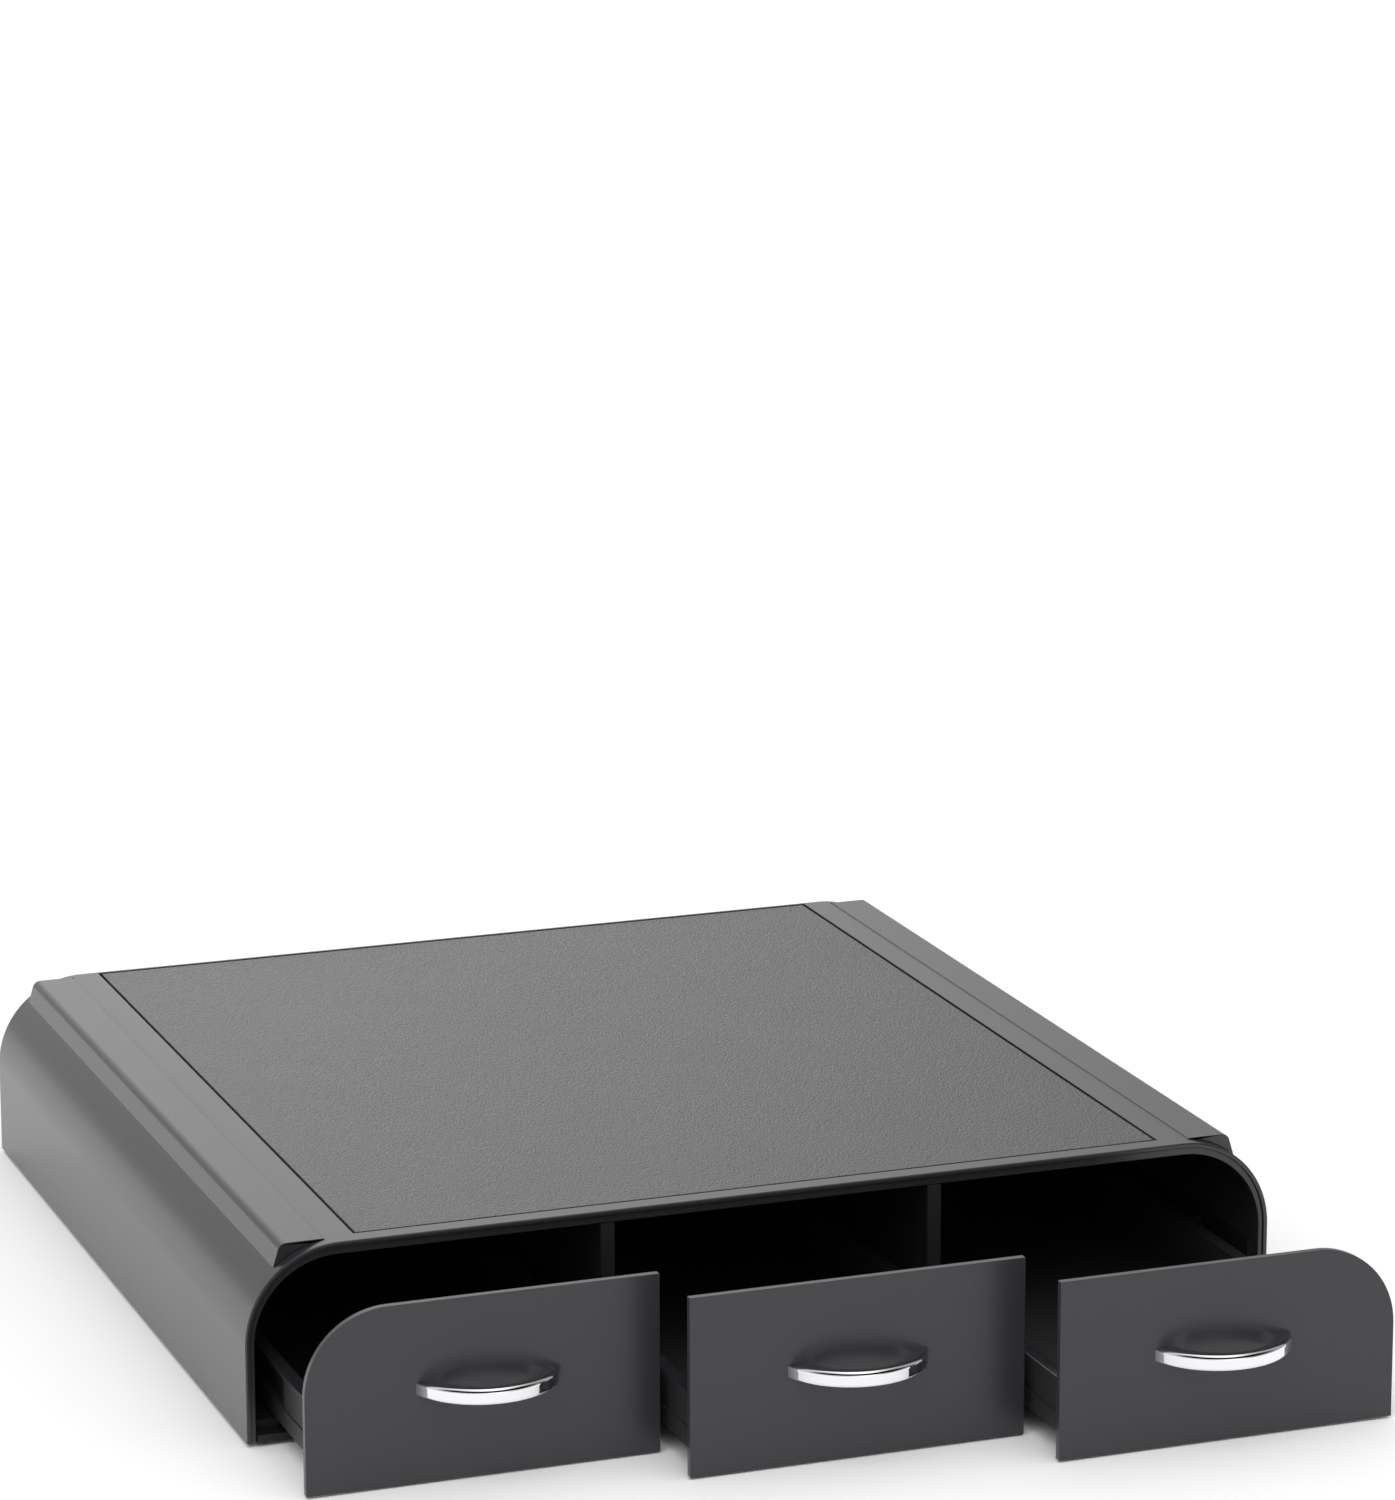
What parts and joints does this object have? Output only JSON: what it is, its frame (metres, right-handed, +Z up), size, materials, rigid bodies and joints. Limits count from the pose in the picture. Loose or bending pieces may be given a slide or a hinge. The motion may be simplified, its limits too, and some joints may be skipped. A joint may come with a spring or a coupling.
{
  "type": "coffee pod drawer",
  "caption": "Low countertop case with side-by-side sliding drawers for single-serve coffee pods, rounded shoulders and a flat grained top that carries a coffee maker.",
  "frame": {"origin": "on the surface that the case stands on, in the middle of the footprint with the drawers at rest, handles included", "axes": "+Z up, +Y to the back, +X to the right as one faces the drawers"},
  "size_m": [0.35, 0.444, 0.0641],
  "materials": {
    "cover_plastic": "satin moulded plastic, charcoal black",
    "deck_plastic": "pebble-grained moulded plastic, near black",
    "front_plastic": "satin moulded plastic, charcoal black",
    "tray_plastic": "satin moulded plastic, black",
    "inner_plastic": "matt moulded plastic, black",
    "handle_chrome": "bright chrome plate",
    "screw_steel": "zinc-plated steel",
    "foot_rubber": "matt black rubber"
  },
  "bodies": {
    "case": {"cover": "cover_plastic", "left_shoulder_rail": "cover_plastic", "right_shoulder_rail": "cover_plastic", "deck_panel": "deck_plastic", "base_plate": "inner_plastic", "back_panel": "cover_plastic", "feet": "foot_rubber", "case_screws": "screw_steel", "left_side_runner": "inner_plastic", "right_side_runner": "inner_plastic", "left_divider": "cover_plastic", "right_divider": "cover_plastic"},
    "left_drawer": {"left_tray": "tray_plastic", "left_tray_rails": "tray_plastic", "left_front": "front_plastic", "left_handle": "handle_chrome", "left_handle_screws": "screw_steel"},
    "middle_drawer": {"middle_tray": "tray_plastic", "middle_tray_rails": "tray_plastic", "middle_front": "front_plastic", "middle_handle": "handle_chrome", "middle_handle_screws": "screw_steel"},
    "right_drawer": {"right_tray": "tray_plastic", "right_tray_rails": "tray_plastic", "right_front": "front_plastic", "right_handle": "handle_chrome", "right_handle_screws": "screw_steel"}
  },
  "joints": [
    {"name": "left_drawer_slide", "type": "slide", "parent": "case", "child": "left_drawer", "axis": [0, -1, 0], "range_m": [-0.046, 0.174]},
    {"name": "middle_drawer_slide", "type": "slide", "parent": "case", "child": "middle_drawer", "axis": [0, -1, 0], "range_m": [-0.0714, 0.1486]},
    {"name": "right_drawer_slide", "type": "slide", "parent": "case", "child": "right_drawer", "axis": [0, -1, 0], "range_m": [-0.0974, 0.1226]}
  ]
}
